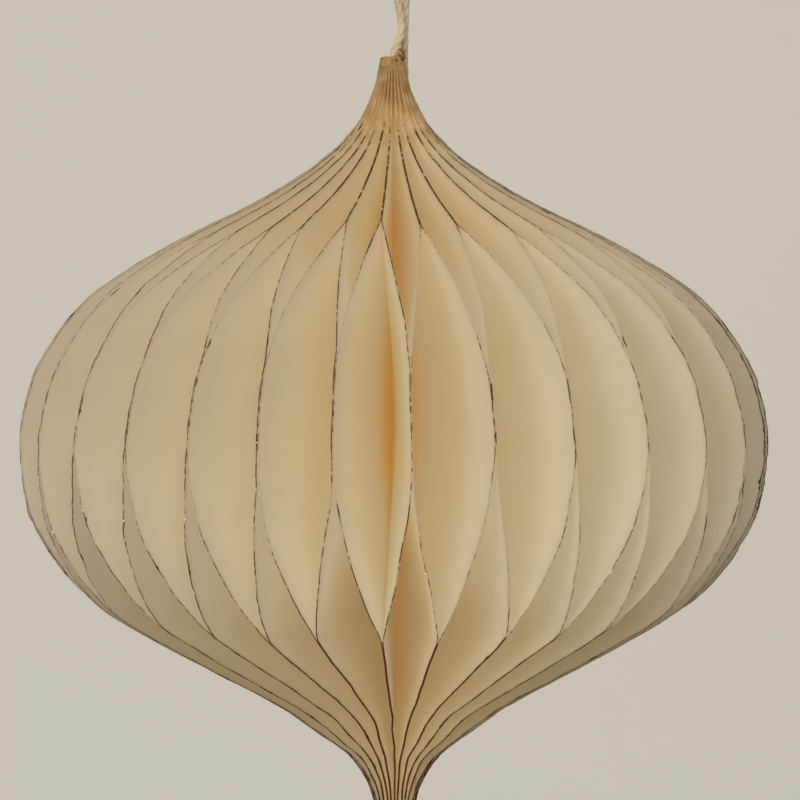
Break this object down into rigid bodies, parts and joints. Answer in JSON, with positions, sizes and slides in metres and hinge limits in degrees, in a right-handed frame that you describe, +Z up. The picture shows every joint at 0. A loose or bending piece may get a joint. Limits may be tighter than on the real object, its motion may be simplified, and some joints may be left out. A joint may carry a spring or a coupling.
{
  "type": "paper teardrop ornament",
  "caption": "Hanging paper ornament: curved leaves fanned round a glued spine, joined in pairs into tall pointed cells, bulging at the belly and narrowing to thin tips, on a cord loop.",
  "frame": {"origin": "middle of the lower tip, on the spine", "axes": "+Z up along the spine towards the hanging loop, -Y towards the viewer of the front, +X to that viewer's right"},
  "size_m": [0.1987, 0.1993, 0.241],
  "materials": {
    "leaf_paper": "matt",
    "binding_glue": "matt",
    "dried_glue": "satin",
    "cord": "matt"
  },
  "bodies": {
    "root": {"leaf_pair_01": "leaf_paper", "leaf_pair_02": "leaf_paper", "leaf_pair_03": "leaf_paper", "leaf_pair_04": "leaf_paper", "leaf_pair_05": "leaf_paper", "leaf_pair_06": "leaf_paper", "leaf_pair_07": "leaf_paper", "leaf_pair_08": "leaf_paper", "leaf_pair_09": "leaf_paper", "leaf_pair_10": "leaf_paper", "leaf_pair_11": "leaf_paper", "leaf_pair_12": "leaf_paper", "leaf_pair_13": "leaf_paper", "leaf_pair_14": "leaf_paper", "leaf_pair_15": "leaf_paper", "leaf_pair_16": "leaf_paper", "leaf_pair_17": "leaf_paper", "leaf_pair_18": "leaf_paper", "leaf_pair_19": "leaf_paper", "leaf_pair_20": "leaf_paper", "leaf_pair_21": "leaf_paper", "leaf_pair_22": "leaf_paper", "leaf_pair_23": "leaf_paper", "leaf_pair_24": "leaf_paper", "leaf_pair_25": "leaf_paper", "leaf_pair_26": "leaf_paper", "leaf_pair_27": "leaf_paper", "leaf_pair_28": "leaf_paper", "leaf_pair_29": "leaf_paper", "leaf_pair_30": "leaf_paper", "leaf_pair_31": "leaf_paper", "leaf_pair_32": "leaf_paper", "leaf_pair_33": "leaf_paper", "binding": "binding_glue", "glue_patch": "dried_glue", "hanging_cord": "cord"}
  },
  "joints": []
}
